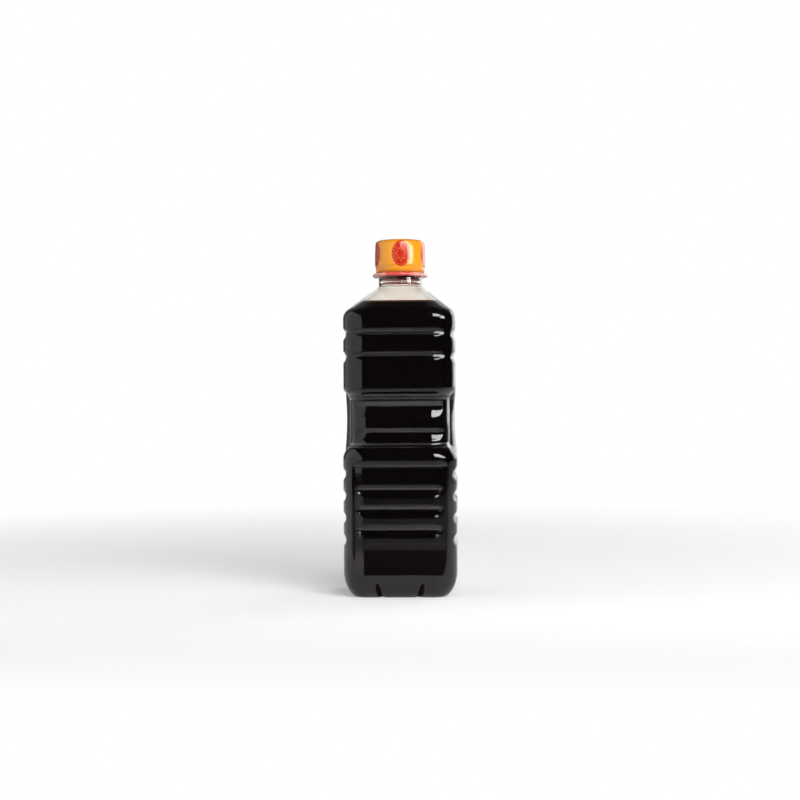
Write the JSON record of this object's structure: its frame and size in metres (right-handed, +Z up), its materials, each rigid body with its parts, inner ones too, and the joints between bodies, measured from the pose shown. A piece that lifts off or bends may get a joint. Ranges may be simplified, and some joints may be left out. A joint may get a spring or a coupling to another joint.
{
  "type": "oil bottle",
  "caption": "Tall square clear plastic bottle with a pinched waist and grooved faces, filled with dark oil and closed by a screw cap under an orange shrink film.",
  "frame": {"origin": "centre of the base, on the surface the bottle stands on", "axes": "+Z up along the bottle to its cap; -Y is the front face; +X is to the right seen from the front"},
  "size_m": [0.067, 0.067, 0.2111],
  "materials": {
    "clear_plastic": "clear glossy blown plastic",
    "dark_oil": "dark brown, nearly opaque oil",
    "cap_plastic": "glossy moulded plastic",
    "shrink_film": "glossy orange shrink film with red roundels"
  },
  "bodies": {
    "root": {"bottle": "clear_plastic", "oil": "dark_oil", "cap": "cap_plastic", "tamper_band": "cap_plastic", "film": "shrink_film"}
  },
  "joints": []
}
